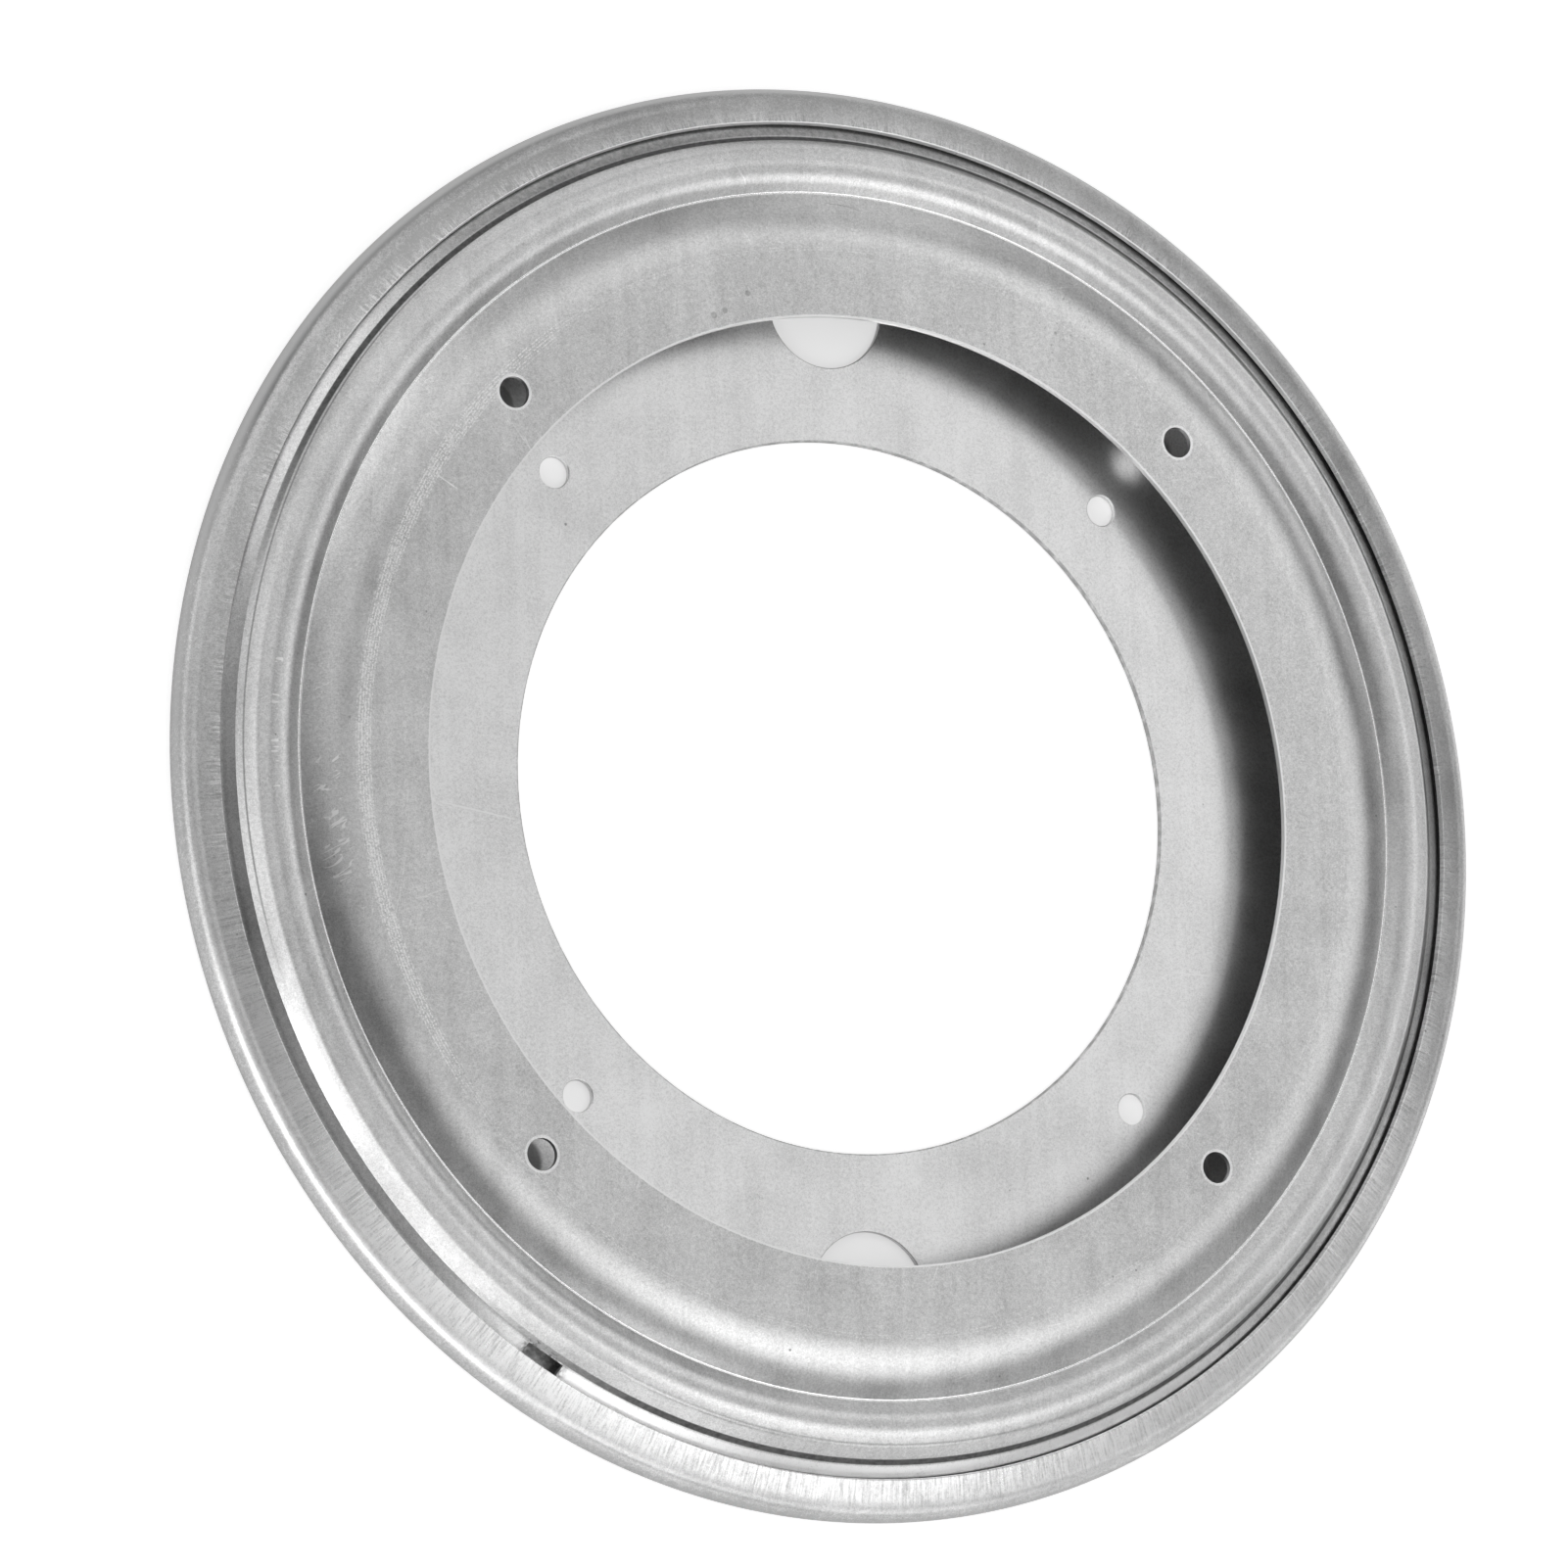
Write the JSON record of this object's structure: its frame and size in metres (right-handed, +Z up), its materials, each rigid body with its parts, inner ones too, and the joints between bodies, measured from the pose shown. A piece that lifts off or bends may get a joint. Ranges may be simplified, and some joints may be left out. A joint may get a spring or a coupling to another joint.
{
  "type": "lazy susan bearing",
  "caption": "Round pressed-steel lazy susan bearing: a turning plate with a raised flange runs on caged balls inside the rolled rim of a wider base plate.",
  "frame": {"origin": "on the axis of rotation, at the underside of the base plate's flange", "axes": "+Z up along the axis, from the base plate to the turning plate; the access holes lie on the Y axis"},
  "size_m": [0.23, 0.23, 0.0092],
  "materials": {
    "galvanised_steel": "satin",
    "bearing_steel": "polished",
    "cage_nylon": "matte"
  },
  "bodies": {
    "base": {"base_plate": "galvanised_steel"},
    "turntable": {"turning_plate": "galvanised_steel"},
    "ball_ring": {"ball_cage": "cage_nylon", "ball_01": "bearing_steel", "ball_02": "bearing_steel", "ball_03": "bearing_steel", "ball_04": "bearing_steel", "ball_05": "bearing_steel", "ball_06": "bearing_steel", "ball_07": "bearing_steel", "ball_08": "bearing_steel", "ball_09": "bearing_steel", "ball_10": "bearing_steel", "ball_11": "bearing_steel", "ball_12": "bearing_steel", "ball_13": "bearing_steel", "ball_14": "bearing_steel", "ball_15": "bearing_steel", "ball_16": "bearing_steel", "ball_17": "bearing_steel", "ball_18": "bearing_steel", "ball_19": "bearing_steel", "ball_20": "bearing_steel", "ball_21": "bearing_steel", "ball_22": "bearing_steel", "ball_23": "bearing_steel", "ball_24": "bearing_steel"}
  },
  "joints": [
    {"name": "turntable_spin", "type": "hinge", "parent": "base", "child": "turntable", "pos_m": [0, 0, 0], "axis": [0, 0, 1], "continuous": true},
    {"name": "ball_ring_spin", "type": "hinge", "parent": "base", "child": "ball_ring", "pos_m": [0, 0, 0], "axis": [0, 0, 1], "continuous": true}
  ],
  "couplings": [
    {"joint": "ball_ring_spin", "follows": "turntable_spin", "ratio": 0.5}
  ]
}
